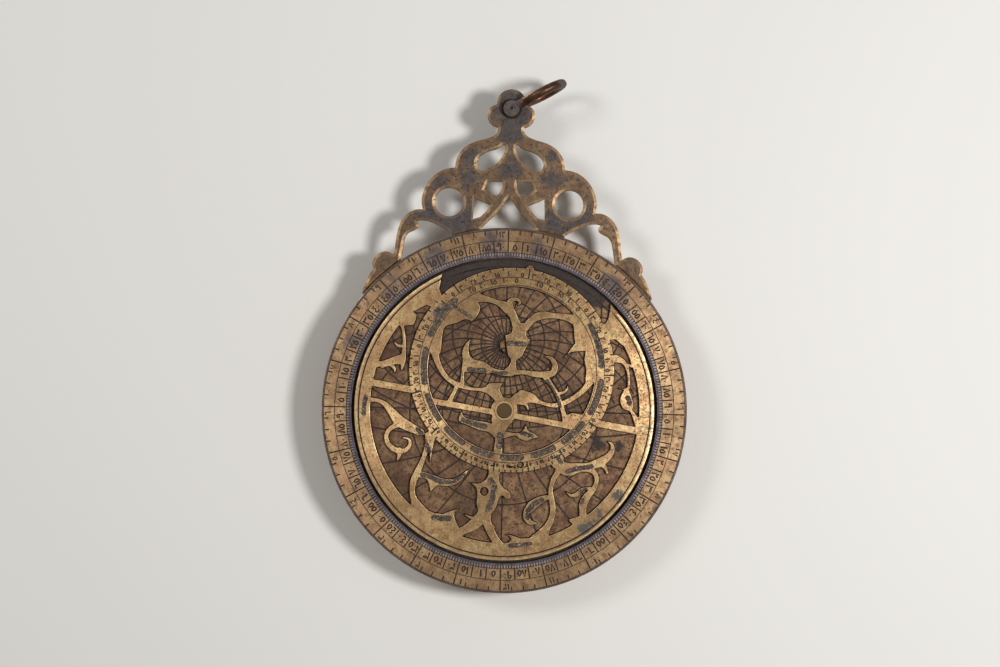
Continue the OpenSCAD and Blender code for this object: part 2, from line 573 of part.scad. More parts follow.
// Straps and pointers inside the ecliptic ring
module inner_strapwork() {
    // Shield with two arms
    leaf([[-4.9, 31], [-5, 29.4], [-4, 26], [-2.8, 22.6], [-1.3, 21], [-1.6, 18.6],
          [-3, 16.6], [0, 14.4], [3, 16.6], [1.7, 18.8], [1.4, 21], [3.2, 22.9],
          [4.1, 26], [5, 29.4], [4.9, 31]]);
    polygon([[-5, 30.6], [-2.9, 32.2], [-3, 36], [-4.6, 38.2], [-1.9, 39.8], [0.2, 36.8],
             [5.4, 38], [3.4, 35.6], [3.4, 32.2], [5, 30.6], [5, 29], [-5, 29]]);
    strap([[-1, 34, 3.6], [-3.4, 38.9, 3.6], [-6.6, 41.8, 4.8], [-11, 43.2, 2.6],
           [-17, 43.8, 3.4], [-24, 43, 6]]);
    strap([[-5.4, 42.4, 3.4], [-5.6, 44.8, 2.6], [-3.2, 45.9, 1.9], [-1.6, 44.8, 1.6],
           [-2.2, 43.8, 1]]);
    strap([[1.8, 34, 3.4], [4.4, 38.5, 3.3], [7.8, 41.1, 3.9], [13, 42, 2.8], [19, 42.2, 3.6],
           [26, 41, 6]]);
    // Leaves that spring from the ring
    polygon(concat(smooth([[-18.4, 41.8], [-17.1, 39.8], [-17.3, 37.4], [-18.4, 34.8]]),
                   smooth([[-19.6, 33.3], [-22.6, 33.7], [-26, 31.4], [-30, 29.2],
                           [-30.2, 24], [-29.8, 18.4], [-32, 17]]),
                   [[-36, 20], [-34, 34], [-24, 45]]));
    polygon(concat(smooth([[20.8, 40.5], [21.9, 38], [22.5, 35.2], [23.4, 32.4]]),
                   smooth([[23.3, 32.2], [21.6, 29], [20.3, 25.4]]),
                   smooth([[20.5, 25.5], [22.4, 28], [25, 29], [28.2, 29.7]]),
                   smooth([[28.3, 29.6], [28.4, 26.4], [29.9, 22], [30.3, 18], [32, 17]]),
                   [[36, 20], [34, 34], [24, 45]]));
    // Lower straps that run from the ring to the hub
    strap([[-33, 20, 4], [-31.2, 15.8, 3], [-28.2, 11.4, 2.6], [-24.6, 8.4, 2.4],
           [-20, 6.9, 2.6], [-15, 6.3, 1.9], [-10.6, 6.8, 2.2], [-6, 7, 5], [-2.6, 4, 4]]);
    strap([[33, 20, 4], [31.3, 15.4, 3], [28.2, 11.4, 2.6], [24, 7.8, 2.6],
           [20, 5.8, 2.4], [15, 5.8, 2.1], [10.6, 6.6, 3.4], [6, 6.6, 5.4], [2.6, 4, 4]]);
    leaf([[-9.6, 7], [-8.4, 9.9], [-5.8, 10.7], [-2, 11.4], [-3.1, 9.4], [-3.2, 6], [-6, 5]]);
    leaf([[3.4, 5], [4.6, 9.6], [8, 9.7], [11.2, 9], [13, 7], [8, 5]]);
    strap([[-20.8, 7, 2.6], [-21.6, 3.6, 2], [-23, -1, 2.6]]);
    strap([[6, 4.4, 2.4], [8.2, 4.2, 2], [9.6, 2.2, 0.9]]);
    // Crescent on the left and hook on the right
    strap([[-18.9, 26.2, 0.8], [-20, 22.8, 2.4], [-19.4, 19, 3.6], [-16.6, 16.8, 4],
           [-12, 16.5, 4], [-8, 15.4, 2.6], [-4, 15.1, 2.8], [0, 15.6, 3.2]]);
    strap([[-19.4, 17, 2.6], [-19.6, 12.6, 1.6], [-19, 8, 2.4]]);
    strap([[-19.6, 12.8, 1.8], [-18, 14.2, 3.4], [-14, 14.8, 3.6], [-9.4, 14.7, 2.6]]);
    strap([[12.6, 24.9, 1], [15.3, 24.4, 2.2], [17.2, 21.9, 2.8], [16.8, 18.8, 3.2],
           [13.6, 17.5, 3.2], [9, 16.9, 2.9], [5, 16.9, 2.3], [0, 16, 3.2]]);
    strap([[14, 16.6, 2.6], [18.4, 12.6, 2.2], [21.4, 8.4, 2.2], [23.6, 4.4, 2.2], [26, -1, 3]]);
    strap([[19.6, 10.8, 1.8], [22, 11.4, 1.8], [23.7, 13, 1.4], [23.9, 14.8, 0.8]]);
    polygon([[24, -1], [25.6, 3], [27.4, 4.4], [33, 4.4], [31, -1]]);
    // Pointers below the bar
    leaf([[-4.6, -3], [4.2, -3], [2.6, -7], [1.4, -12], [2.6, -18.4], [-1.2, -18.4],
          [-1.8, -12], [-3.2, -8]]);
    leaf([[-2, -7], [-6, -5.7], [-10.6, -5.8], [-15.4, -5.3], [-17.3, -3.4], [-17.8, -7.6],
          [-13, -9], [-8.6, -10], [-4.6, -10.2], [-1.4, -12]]);
    leaf([[1.6, -8.4], [6.4, -8], [8.8, -6.6], [9.9, -3.8], [11.2, -6.1], [14, -6.9],
          [16.2, -8.4], [13.6, -9.5], [11.2, -10.9], [8, -10.4], [6, -9.5], [1.4, -11.6]]);
}

module rete() {
    color("#cda868") face_on() rotate([0, 0, -rete_turn]) difference() {
        translate([0, 0, rete_back]) linear_extrude(rete_t) difference() {
            intersection() {
                offset(delta = -0.05) offset(delta = 0.05) {
                    rete_rings();
                    scale([rete_draft, rete_draft]) {
                        outer_strapwork();
                        inner_strapwork();
                    }
                }
                circle(r = rete_r, $fn = fine_fn);
            }
            circle(r = turn_bore_r);
            translate(knob_hole_at * rete_draft) circle(r = knob_hole_r);
            translate(small_hole_at * rete_draft) circle(r = small_hole_r);
        }
        ring_groove(rim_line_r, rete_face);
    }
}

// Shackle with round bow and two legs, flattened into eyes on both sides of the boss.
// Each station of the line is [u, v, half thickness in the plane, half width across it].
eye_mid = eye_gap + eye_t / 2;
neck_t = 0.48 * eye_t;
neck_w = 1.2 * rod_r;
bend_steps = 4;
bow_steps = 24;
rod_sides = 20;
leg_line = concat(
    [for (from_pin = [0.3, 0.8]) [from_pin * eye_r, eye_mid, neck_t, neck_w]],
    [for (i = [0 : bend_steps - 1])
        let (a = -90 + (90 - bow_open) * i / bend_steps)
        [bend_u + leg_bend_r * cos(a), bend_v + leg_bend_r * sin(a), rod_r, rod_r]]);
shackle_line = concat(
    leg_line,
    [for (i = [0 : bow_steps])
        let (a = (180 - bow_open) * (1 - 2 * i / bow_steps))
        [bow_reach + bow_r * cos(a), bow_r * sin(a), rod_r, rod_r]],
    [for (i = [len(leg_line) - 1 : -1 : 0])
        [leg_line[i][0], -leg_line[i][1], leg_line[i][2], leg_line[i][3]]]);

// Rod of elliptic section through all the stations of a line
module swept_rod(line, sides) {
    rings = len(line);
    points = [
        for (i = [0 : rings - 1], k = [0 : sides - 1])
            let (d = along(line, i), a = 360 * k / sides)
            [line[i][0] - d[1] * line[i][2] * cos(a),
             line[i][1] + d[0] * line[i][2] * cos(a),
             line[i][3] * sin(a)]];
    sides_faces = [
        for (i = [0 : rings - 2], k = [0 : sides - 1], half = [0, 1])
            let (a = i * sides + k, b = i * sides + (k + 1) % sides)
            half == 0 ? [a, b + sides, b] : [a, a + sides, b + sides]];
    first_end = [for (k = [0 : sides - 1]) k];
    last_end = [for (k = [sides - 1 : -1 : 0]) (rings - 1) * sides + k];
    polyhedron(points, concat(sides_faces, [first_end, last_end]));
}

module shackle() {
    color("#7d5238") translate([0, -throne_mid, pin_up]) rotate([90, 0, 0])
        rotate([0, 0, shackle_rest]) rotate([90, 0, 0]) difference() {
            union() {
                swept_rod(shackle_line, rod_sides);
                for (side = [-1, 1]) rotate([side * 90, 0, 0])
                    translate([0, 0, eye_gap]) cylinder(r = eye_r, h = eye_t);
            }
            for (side = [-1, 1]) rotate([side * 90, 0, 0])
                translate([0, 0, eye_gap - cut_over / 2])
                    cylinder(r = pin_r + turn_fit, h = eye_t + cut_over);
        }
}

module shackle_pin() {
    pin_half = eye_gap + eye_t;
    color("#8c7a64") face_on() translate([0, pin_up, throne_mid]) difference() {
        translate([0, 0, -pin_half]) cylinder(r = pin_r, h = 2 * pin_half);
        translate([0, 0, pin_half - pin_mark_r]) cylinder(r = pin_mark_r, h = cut_over);
    }
}

module pin_washers() {
    color("#4a3c34") face_on() for (side = [0, 1])
        translate([0, pin_up, throne_mid]) mirror([0, 0, side])
            translate([0, 0, throne_t / 2 + turn_fit]) difference() {
                cylinder(r = pin_washer_r, h = pin_washer_t);
                translate([0, 0, -cut_over])
                    cylinder(r = pin_r + rivet_fit, h = pin_washer_t + 2 * cut_over);
            }
}

// Rule of the alidade, lying level at rest, with both ends cut to a point
module rule_outline() {
    reach = limb_r - alidade_inset;
    polygon([[reach, 0], [reach - point_l, rule_w / 2], [-reach + point_l, rule_w / 2],
             [-reach, 0], [-reach + point_l, -rule_w / 2], [reach - point_l, -rule_w / 2]]);
}

module vane_rivet_places() {
    for (side = [-1, 1], y = [-1, 1])
        translate([side * vane_rivet_at, y * rule_w / 4, 0]) children();
}

module alidade_rule() {
    color("#b39157") face_on() translate([0, 0, rule_back]) difference() {
        union() {
            linear_extrude(rule_t) rule_outline();
            cylinder(r = rule_hub_r, h = rule_t);
        }
        translate([0, 0, -cut_over]) cylinder(r = turn_bore_r, h = rule_t + 2 * cut_over);
        vane_rivet_places() translate([0, 0, -cut_over])
            cylinder(r = vane_rivet_r + rivet_fit, h = rule_t + 2 * cut_over);
    }
}

// Vane with its foot on the rear of the rule and two sighting holes
module vane(side) {
    foot_t = vane_t;
    mid_h = foot_t + (vane_h - foot_t) / 2;
    color("#bd9a5e") face_on() mirror([side < 0 ? 1 : 0, 0, 0]) difference() {
        union() {
            translate([vane_in, -rule_w / 2, rule_back - vane_h])
                cube([vane_t, rule_w, vane_h]);
            translate([vane_in - vane_foot_l, -rule_w / 2, rule_back - foot_t])
                cube([vane_foot_l + vane_t / 2, rule_w, foot_t]);
        }
        for (hole = [[-sight_half, wide_sight_r], [sight_half, fine_sight_r]])
            translate([vane_in - cut_over, 0, rule_back - mid_h + hole[0]])
                rotate([0, 90, 0]) cylinder(r = hole[1], h = vane_t + 2 * cut_over);
        for (y = [-1, 1])
            translate([vane_rivet_at, y * rule_w / 4, rule_back - foot_t - cut_over])
                cylinder(r = vane_rivet_r + rivet_fit, h = foot_t + 2 * cut_over);
    }
}

module vane_rivets() {
    color("#c9ab6c") face_on() vane_rivet_places() translate([0, 0, rule_back - vane_t])
        cylinder(r = vane_rivet_r, h = rule_t + vane_t);
}

back_plate();
limb_ring();
limb_rivets();
throne();
throne_rivets();
climate_plate(0);  // climate_plate_1
climate_plate(1);  // climate_plate_2
climate_plate(2);  // climate_plate_3
climate_plate(3);  // climate_plate_4
plate_stud();
hollow_axis();
scalloped_washer();
rete();
shackle();
shackle_pin();
pin_washers();
alidade_rule();
vane(1);  // right_vane
vane(-1);  // left_vane
vane_rivets();
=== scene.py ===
import math

import bpy
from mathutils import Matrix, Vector


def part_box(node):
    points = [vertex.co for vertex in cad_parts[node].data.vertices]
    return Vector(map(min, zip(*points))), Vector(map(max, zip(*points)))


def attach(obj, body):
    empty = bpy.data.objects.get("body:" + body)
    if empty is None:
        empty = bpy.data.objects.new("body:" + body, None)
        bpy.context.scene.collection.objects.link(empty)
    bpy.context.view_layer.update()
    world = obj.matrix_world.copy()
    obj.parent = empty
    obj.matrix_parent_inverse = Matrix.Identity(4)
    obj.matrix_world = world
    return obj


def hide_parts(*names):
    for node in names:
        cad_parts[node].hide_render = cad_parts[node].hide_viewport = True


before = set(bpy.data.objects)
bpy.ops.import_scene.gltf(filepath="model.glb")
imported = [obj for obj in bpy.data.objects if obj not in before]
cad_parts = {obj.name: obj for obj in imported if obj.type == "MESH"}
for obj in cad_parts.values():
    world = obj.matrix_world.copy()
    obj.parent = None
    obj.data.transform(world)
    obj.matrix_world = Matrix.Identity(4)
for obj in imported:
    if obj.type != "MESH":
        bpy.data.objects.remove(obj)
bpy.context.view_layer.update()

# Looks of a brass planispheric astrolabe: engraving, filed edges and the finish of each piece.
# Lengths are in metres. The graduated face looks along -Y, so what lies deeper has a larger y.
# Flat drawings hold (x, z) points, and angles run clockwise from the top, in degrees.
# A stroke is a pair: the points of a line, and whether the line closes on itself.

MM = 0.001


# Sizes that come from the frame

LIMB_R = max(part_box("limb_ring")[1].x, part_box("limb_ring")[1].z)
LIMB_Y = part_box("limb_ring")[0].y
RETE_R = max(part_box("rete")[1].x, -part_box("rete")[0].x)
RETE_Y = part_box("rete")[0].y
PLATE_R = max(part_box("climate_plate_4")[1].x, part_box("climate_plate_4")[1].z)
PLATE_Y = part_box("climate_plate_4")[0].y
THRONE_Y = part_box("throne")[0].y
THRONE_BACK_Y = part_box("throne")[1].y
BACK_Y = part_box("back_plate")[1].y
RULE_BACK_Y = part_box("alidade_rule")[1].y
REAR_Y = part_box("right_vane")[1].y
PIN_Z = (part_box("shackle_pin")[0].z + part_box("shackle_pin")[1].z) / 2

# A face this close to a plane lies in it
FLAT = 0.01 * MM

# Ring grooves that the CAD pieces have: half their width, with a little room, and their depth
GROOVE_HALF, GROOVE_DEEP = 0.2 * MM, 0.2 * MM

# Bands of the limb, from the bowl outwards, with a ring groove between each two
BOWL_R = PLATE_R + 0.3 * MM
FINE_R = BOWL_R + 2.1 * MM
LETTER_R = FINE_R + 4.7 * MM
BEAD_R = LIMB_R - 0.9 * MM

# Circles of the sky map. The tropic of Capricorn lies a little inside the edge of the rete.
OBLIQUITY = math.radians(23.5)
LATITUDE = math.radians(21.2)
TROPIC_INSET = 2.7 * MM
CAPRICORN_R = RETE_R - TROPIC_INSET
EQUATOR_R = CAPRICORN_R * math.tan(math.pi / 4 - OBLIQUITY / 2)
CANCER_R = EQUATOR_R * math.tan(math.pi / 4 - OBLIQUITY / 2)
ECLIPTIC_R = (CAPRICORN_R + CANCER_R) / 2
ECLIPTIC_UP = (CAPRICORN_R - CANCER_R) / 2
ECLIPTIC_IN_R = ECLIPTIC_R - 8.2 * MM
MAP_R = CAPRICORN_R - 0.3 * MM

# The rete stands turned at rest, and its rim is open over the top of the ecliptic ring
RETE_TURN = 9
RIM_FROM, RIM_TO = 48, 339
RIM_LINE_R = RETE_R - 2 * MM

# Scales of the back, which start clear of the hub of the alidade
BARE_R = 11.5 * MM
SINE_R = 60 * MM
SQUARE_HALF = 36 * MM


# Selecting and editing

def use(piece):
    """Leaves one object selected and active."""
    bpy.ops.object.select_all(action="DESELECT")
    piece.select_set(True)
    bpy.context.view_layer.objects.active = piece


def edit_all(piece):
    """Opens a piece in edit mode with everything selected."""
    use(piece)
    bpy.ops.object.mode_set(mode="EDIT")
    bpy.ops.mesh.select_all(action="SELECT")


def copy_of(node, name):
    """A closed copy of a CAD node that stands for the node."""
    piece = bpy.data.objects.new(name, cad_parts[node].data.copy())
    bpy.context.scene.collection.objects.link(piece)
    edit_all(piece)
    bpy.ops.mesh.remove_doubles(threshold=0.002 * MM)
    bpy.ops.object.mode_set(mode="OBJECT")
    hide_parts(node)
    return piece


def apply_modifier(piece, kind, **settings):
    """Adds a modifier with its settings and applies it at once."""
    use(piece)
    modifier = piece.modifiers.new(kind.title(), kind)
    for key, value in settings.items():
        setattr(modifier, key, value)
    bpy.ops.object.modifier_apply(modifier=modifier.name)


def smooth(piece):
    """Rounds what is round, and keeps the faces of the discs flat."""
    use(piece)
    bpy.ops.object.shade_smooth_by_angle(angle=math.radians(28))
    for face in piece.data.polygons:
        if abs(face.normal.y) > 0.9999:
            face.use_smooth = False


def is_wall(face):
    """Whether a face stands upright on the plane of the discs."""
    return abs(face.normal.y) < 0.5


def from_axis(face):
    """How far the middle of a face lies from the axis of the discs."""
    return math.hypot(face.center.x, face.center.z)


def paint(piece, material, chosen):
    """Gives one of a piece's materials to the faces for which chosen(face) is true."""
    index = piece.data.materials.find(material.name)
    for face in piece.data.polygons:
        if chosen(face):
            face.material_index = index


def outlines(piece, y, grooves=()):
    """The outlines of the flat face at y as strokes, without those of ring grooves."""
    uses = {}
    for face in piece.data.polygons:
        if abs(face.center.y - y) < FLAT and abs(face.normal.y) > 0.99:
            for edge in face.edge_keys:
                uses[edge] = uses.get(edge, 0) + 1
    corner = [(v.co.x, v.co.z) for v in piece.data.vertices]
    beside = {}
    for ends, count in uses.items():
        in_groove = any(all(abs(math.hypot(*corner[v]) - r) < GROOVE_HALF for v in ends)
                        for r in grooves)
        if count == 1 and not in_groove:
            for here, there in (ends, ends[::-1]):
                beside.setdefault(here, []).append(there)
    strokes = []
    # Open lines start at their ends, and what then remains is closed
    for start in sorted(beside, key=lambda v: len(beside[v])):
        if start in beside:
            line, here, closed = [], start, len(beside[start]) > 1
            while here is not None:
                line.append(corner[here])
                here = next((v for v in beside.pop(here) if v in beside), None)
            if len(line) > 1:
                strokes.append((line, closed))
    return strokes


# Engraving

def polar(r, angle, centre=(0, 0)):
    """Point at a radius and a clockwise angle from the top, round a centre."""
    a = math.radians(angle)
    return (centre[0] + r * math.sin(a), centre[1] + r * math.cos(a))


def turned(points, angle):
    """Points turned clockwise about the axis."""
    c, s = math.cos(math.radians(angle)), math.sin(math.radians(angle))
    return [(x * c + z * s, z * c - x * s) for x, z in points]


def circle(r, centre=(0, 0), steps=120):
    """Stroke round a circle."""
    return ([polar(r, 360 * i / steps, centre) for i in range(steps)], True)


def tick(r_in, r_out, angle, centre=(0, 0)):
    """Stroke along a radius."""
    return ([polar(r_in, angle, centre), polar(r_out, angle, centre)], False)


# Eastern Arabic numerals, each one stroke of the graver in a box one unit high
DIGITS = {
    "0": ([(0.22, 0.5), (0.3, 0.38)], False),
    "1": ([(0.2, 1), (0.3, 0)], False),
    "2": ([(0.56, 1), (0.5, 0.78), (0.32, 0.72), (0.1, 0.97), (0.26, 0)], False),
    "3": ([(0.76, 1), (0.7, 0.8), (0.58, 0.77), (0.47, 0.92), (0.38, 0.76), (0.24, 0.76),
           (0.06, 0.97), (0.24, 0)], False),
    "4": ([(0.5, 1), (0.12, 0.8), (0.42, 0.56), (0.08, 0.3), (0.2, 0.05), (0.54, 0)], False),
    "5": ([(0.3, 0.82), (0.1, 0.5), (0.08, 0.2), (0.28, 0.04), (0.5, 0.2), (0.48, 0.52)], True),
    "6": ([(0.04, 1), (0.1, 0.86), (0.42, 0.92), (0.48, 0)], False),
    "7": ([(0.04, 1), (0.3, 0), (0.56, 1)], False),
    "8": ([(0.04, 0), (0.3, 1), (0.56, 0)], False),
    "9": ([(0.34, 0.6), (0.12, 0.7), (0.14, 0.92), (0.34, 1), (0.48, 0.84), (0.52, 0)], False),
}
# How far each one moves the graver on
DIGIT_W = {"0": 0.5, "1": 0.5, "3": 0.86}
USUAL_DIGIT_W = 0.66


def number(value, size, r, angle, centre=(0, 0)):
    """Strokes of a number, centred at a radius and an angle with its top outwards."""
    text = str(value)
    total = sum(DIGIT_W.get(d, USUAL_DIGIT_W) for d in text)
    strokes, at = [], -total / 2
    for d in text:
        points, closed = DIGITS[d]
        strokes.append(([polar(r + (v - 0.5) * size,
                               angle + math.degrees((at + u) * size / r), centre)
                         for u, v in points], closed))
        at += DIGIT_W.get(d, USUAL_DIGIT_W)
    return strokes


def spaced(points, step):
    """The same line with a point at least every step."""
    line = [points[0]]
    for (x0, z0), (x1, z1) in zip(points, points[1:]):
        count = max(1, math.ceil(math.hypot(x1 - x0, z1 - z0) / step))
        line += [(x0 + (x1 - x0) * i / count, z0 + (z1 - z0) * i / count)
                 for i in range(1, count + 1)]
    return line


def cutter(strokes, half, deep, y, crumble=0.0):
    """Closed tubes along strokes in the plane at y. Their section is a diamond, 2 half wide.

    A crumbled stroke swells and shrinks by that share along its way, and ends thin.
    """
    curve = bpy.data.curves.new("strokes", "CURVE")
    curve.dimensions = "3D"
    curve.bevel_depth = half
    curve.bevel_resolution = 0
    curve.use_fill_caps = True
    for points, closed in strokes:
        spline = curve.splines.new("POLY")
        spline.points.add(len(points) - 1)
        last = len(points) - 1
        for i, (point, (x, z)) in enumerate(zip(spline.points, points)):
            point.co = (x, y, z, 1)
            if crumble:
                point.radius = 1 - crumble * (0.5 + 0.5 * math.sin(2.3 * i + 900 * x))
                if i in (0, last):
                    point.radius *= 0.5
        spline.use_cyclic_u = closed
    made = bpy.data.objects.new("cutter", curve)
    bpy.context.scene.collection.objects.link(made)
    use(made)
    bpy.ops.object.convert(target="MESH")
    made = bpy.context.object
    for vertex in made.data.vertices:
        vertex.co.y = y + (vertex.co.y - y) * deep / half
    edit_all(made)
    bpy.ops.mesh.remove_doubles(threshold=0.0005 * MM)
    bpy.ops.mesh.normals_make_consistent(inside=False)
    bpy.ops.object.mode_set(mode="OBJECT")
    return made


def engrave(piece, strokes, half, y, material, deep=None, crumble=0.0):
    """Cuts V grooves in the face at y along strokes that don't cross, and colours them.

    Half is half the width of a groove, and deep its depth, which is the same if not given.
    """
    tool = cutter(strokes, half, deep or half, y, crumble)
    tool.data.materials.append(material)
    apply_modifier(piece, "BOOLEAN", operation="DIFFERENCE", solver="MANIFOLD",
                   object=tool, material_mode="TRANSFER")
    bpy.data.objects.remove(tool)


def clipped(points, inside):
    """Runs of a line's points for which inside(point) is true."""
    runs, run = [], []
    for point in points:
        if inside(point):
            run.append(point)
        else:
            if len(run) > 1:
                runs.append((run, False))
            run = []
    if len(run) > 1:
        runs.append((run, False))
    return runs


# Materials

def srgb(code):
    """A colour written as #rrggbb, as the linear values that Blender takes."""
    values = [int(code[i:i + 2], 16) / 255 for i in (1, 3, 5)]
    return tuple(v / 12.92 if v <= 0.04045 else ((v + 0.055) / 1.055) ** 2.4
                 for v in values) + (1,)


def add(tree, kind, inputs=None, output=0, **settings):
    """Adds a node with its settings and links, and gives back one of its outputs.

    A Mix node takes its two numbers at sockets 2 and 3, and its two colours at 6 and 7, and
    gives the mixed colour at output 2.
    """
    node = tree.nodes.new(kind)
    for key, value in settings.items():
        setattr(node, key, value)
    for key, value in (inputs or {}).items():
        if isinstance(value, bpy.types.NodeSocket):
            tree.links.new(value, node.inputs[key])
        else:
            node.inputs[key].default_value = value
    return None if output is None else node.outputs[output]


def empty_material(name):
    """A material without nodes, and the tree that they go in."""
    material = bpy.data.materials.new(name)
    material.use_nodes = True
    material.node_tree.nodes.clear()
    return material, material.node_tree


def aged_brass(name, bare, blush, toned, dirt, patina, patina_from, patina_size=9 * MM,
               roughness=0.5, speck_from=0.58, relief=0.09 * MM, creep=0.08, turned_finish=0.0,
               crusts=()):
    """Cast and hand-filed brass, handled for centuries.

    The metal shifts slowly between a rubbed and a toned colour (24 mm), blushes copper red
    where it lost its zinc (6 mm), and has a finer mottle (2.5 mm), dirt in casting pits
    (0.9 mm) and grey patina that creeps in from patches. The file left hair scratches, drawn
    0.3 mm apart so that they show. A crust is a place (x, z, radius) where the patina has
    settled, and creep says how softly it ends. A turned finish was rubbed round and round the
    axis, so a lamp beside the disc draws a sheen across it.
    """
    material, tree = empty_material(name)
    place = add(tree, "ShaderNodeTexCoord", output="Object")
    broad = add(tree, "ShaderNodeTexNoise", {"Vector": place, "Scale": 1 / (24 * MM),
                                             "Detail": 3})
    broad = add(tree, "ShaderNodeMapRange", {"Value": broad, "From Min": 0.42,
                                             "From Max": 0.62, "To Max": 0.6})
    mottle = add(tree, "ShaderNodeTexNoise", {"Vector": place, "Scale": 1 / (2.5 * MM),
                                              "Detail": 7, "Roughness": 0.72})
    cloud = add(tree, "ShaderNodeMapRange", {"Value": mottle, "From Min": 0.44,
                                             "From Max": 0.62, "To Max": 0.9})
    pits = add(tree, "ShaderNodeTexNoise", {"Vector": place, "Scale": 1 / (0.9 * MM),
                                            "Detail": 4, "Roughness": 0.7})
    pits = add(tree, "ShaderNodeMapRange", {"Value": pits, "From Min": speck_from,
                                            "From Max": speck_from + 0.1, "To Max": 0.9})
    crust = add(tree, "ShaderNodeTexNoise",
                {"Vector": place, "Scale": 1 / patina_size, "Detail": 10, "Roughness": 0.66,
                 "Distortion": 0.4})
    flat = add(tree, "ShaderNodeMapping", {"Vector": place, "Scale": (1, 0, 1)})
    ragged = add(tree, "ShaderNodeMapRange", {"Value": mottle, "From Min": 0.3, "From Max": 0.7,
                                              "To Min": -2.2 * MM, "To Max": 2.2 * MM})
    for x, z, r in crusts:
        away = add(tree, "ShaderNodeVectorMath", {0: flat, 1: (x * MM, 0, z * MM)}, "Value",
                   operation="DISTANCE")
        away = add(tree, "ShaderNodeMath", {0: away, 1: ragged}, operation="ADD")
        near = add(tree, "ShaderNodeMapRange", {"Value": away, "From Min": 0.3 * r * MM,
                                                "From Max": 1.5 * r * MM, "To Min": 0.28,
                                                "To Max": 0.0})
        crust = add(tree, "ShaderNodeMath", {0: crust, 1: near}, operation="ADD")
    crust = add(tree, "ShaderNodeMapRange", {"Value": crust, "From Min": patina_from,
                                             "From Max": patina_from + creep, "To Max": 0.94})
    along = add(tree, "ShaderNodeMapping", {"Vector": place, "Rotation": (0, 0.7, 0),
                                            "Scale": (1, 1, 0.04)})
    hair = add(tree, "ShaderNodeTexNoise", {"Vector": along, "Scale": 1 / (0.3 * MM),
                                            "Detail": 2})
    reddened = add(tree, "ShaderNodeTexNoise", {"Vector": place, "Scale": 1 / (6 * MM),
                                                "Detail": 6, "Roughness": 0.65})
    reddened = add(tree, "ShaderNodeMapRange", {"Value": reddened, "From Min": 0.44,
                                                "From Max": 0.6, "To Max": 0.85})
    lumps = add(tree, "ShaderNodeMapRange", {"Value": mottle, "From Min": 0.4,
                                             "From Max": 0.64, "To Max": 0.6})
    colour = add(tree, "ShaderNodeMix", {0: reddened, 6: srgb(bare), 7: srgb(blush)}, 2,
                 data_type="RGBA")
    colour = add(tree, "ShaderNodeMix", {0: broad, 6: colour, 7: srgb(toned)}, 2,
                 data_type="RGBA")
    colour = add(tree, "ShaderNodeMix", {0: cloud, 6: colour, 7: srgb(toned)}, 2,
                 data_type="RGBA")
    settled = add(tree, "ShaderNodeMix", {0: lumps, 6: srgb(patina), 7: srgb(dirt)}, 2,
                  data_type="RGBA")
    colour = add(tree, "ShaderNodeMix", {0: crust, 6: colour, 7: settled}, 2,
                 data_type="RGBA")
    colour = add(tree, "ShaderNodeMix", {0: pits, 6: colour, 7: srgb(dirt)}, 2,
                 data_type="RGBA")
    dull = add(tree, "ShaderNodeMath", {0: crust, 1: pits}, operation="MAXIMUM")
    shine = add(tree, "ShaderNodeMapRange", {"Value": mottle, "From Min": 0.3, "From Max": 0.7,
                                             "To Min": roughness - 0.1,
                                             "To Max": roughness + 0.16})
    shine = add(tree, "ShaderNodeMix", {0: dull, 2: shine, 3: 0.75}, data_type="FLOAT")
    metal = add(tree, "ShaderNodeMapRange", {"Value": dull, "To Min": 0.85, "To Max": 0.15})
    height = add(tree, "ShaderNodeMix", {0: 0.3, 2: mottle, 3: hair}, data_type="FLOAT")
    height = add(tree, "ShaderNodeMapRange", {"Value": pits, "To Min": height, "To Max": 0.1})
    bump = add(tree, "ShaderNodeBump", {"Height": height, "Distance": relief,
                                        "Strength": 1.0})
    round_axis = add(tree, "ShaderNodeTangent", direction_type="RADIAL", axis="Y")
    shader = add(tree, "ShaderNodeBsdfPrincipled",
                 {"Base Color": colour, "Roughness": shine, "Metallic": metal,
                  "Normal": bump, "Anisotropic": turned_finish, "Anisotropic Rotation": 0.25,
                  "Tangent": round_axis})
    add(tree, "ShaderNodeOutputMaterial", {"Surface": shader}, output=None)
    return material


def caked_dirt(name, dark, pale, speck, speck_size=1.0 * MM, share=0.62):
    """Wax and soot packed in a cut: matt, dark brown, with a few rubbed pale grains."""
    material, tree = empty_material(name)
    place = add(tree, "ShaderNodeTexCoord", output="Object")
    patchy = add(tree, "ShaderNodeTexNoise", {"Vector": place, "Scale": 1 / (1.6 * MM),
                                              "Detail": 5})
    patchy = add(tree, "ShaderNodeMapRange", {"Value": patchy, "From Min": 0.36,
                                              "From Max": 0.68})
    grains = add(tree, "ShaderNodeTexNoise", {"Vector": place, "Scale": 1 / speck_size,
                                              "Detail": 2})
    grains = add(tree, "ShaderNodeMapRange", {"Value": grains, "From Min": share,
                                              "From Max": share + 0.06})
    colour = add(tree, "ShaderNodeMix", {0: patchy, 6: srgb(dark), 7: srgb(pale)}, 2,
                 data_type="RGBA")
    colour = add(tree, "ShaderNodeMix", {0: grains, 6: colour, 7: srgb(speck)}, 2,
                 data_type="RGBA")
    bump = add(tree, "ShaderNodeBump", {"Height": patchy, "Distance": 0.04 * MM})
    shader = add(tree, "ShaderNodeBsdfPrincipled",
                 {"Base Color": colour, "Roughness": 0.8, "Normal": bump})
    add(tree, "ShaderNodeOutputMaterial", {"Surface": shader}, output=None)
    return material


# Limb: dull honey brass, speckled brown, with grey blooms at its shoulders
LIMB = aged_brass("engraved_limb_brass", "#c0a077", "#b48a68", "#7f654b", "#30231d", "#625553",
                  0.6, creep=0.16, turned_finish=0.5,
                  crusts=((-44.7, 48.4, 7), (-62.5, 25.8, 5), (42.9, 52.6, 6),
                          (-6, 68, 8), (14, 66, 6), (-30, 62, 6)))
